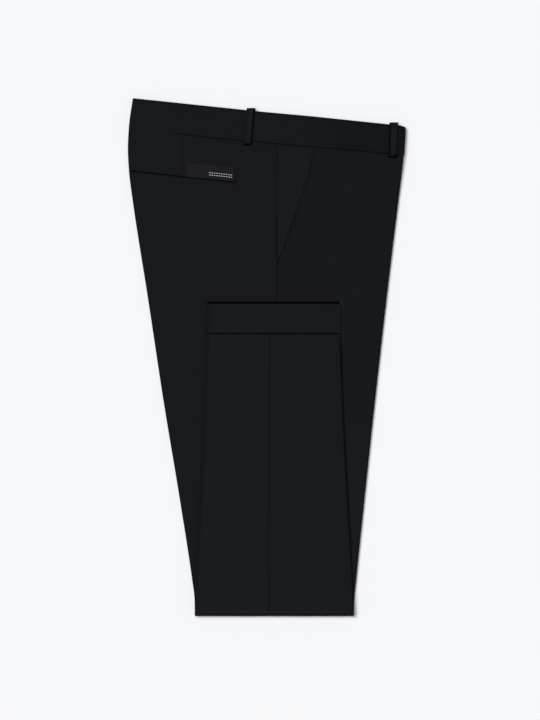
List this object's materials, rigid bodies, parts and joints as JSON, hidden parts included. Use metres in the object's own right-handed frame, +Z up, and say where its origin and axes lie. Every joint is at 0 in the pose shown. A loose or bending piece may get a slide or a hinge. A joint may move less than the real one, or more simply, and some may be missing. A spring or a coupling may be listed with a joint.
{
  "type": "chino trousers",
  "caption": "Dark tailored chino trousers, pressed on their creases, lying on their side with both legs folded up together at the knees.",
  "frame": {"origin": "middle of the garment's outline, on the surface it lies on", "axes": "+Y runs from the knee fold up to the waist, +X from the seat side to the fly side, +Z straight up off the surface"},
  "size_m": [0.3616, 0.6732, 0.0171],
  "materials": {
    "cloth": "near-black blue-grey cotton twill, pressed flat, matt",
    "label_satin": "woven black satin tab with a plain row of silver stitches"
  },
  "bodies": {
    "root": {"right_back": "cloth", "right_front": "cloth", "left_back": "cloth", "left_front": "cloth", "hidden_layers": "cloth", "pocket_facing": "cloth", "back_pocket_lower_jet": "cloth", "back_pocket_upper_jet": "cloth", "label": "label_satin", "right_waistband": "cloth", "left_waistband": "cloth", "right_side_loop": "cloth", "right_front_loop": "cloth", "left_side_loop": "cloth", "left_front_loop": "cloth", "right_cuff": "cloth", "left_cuff": "cloth"}
  },
  "joints": []
}
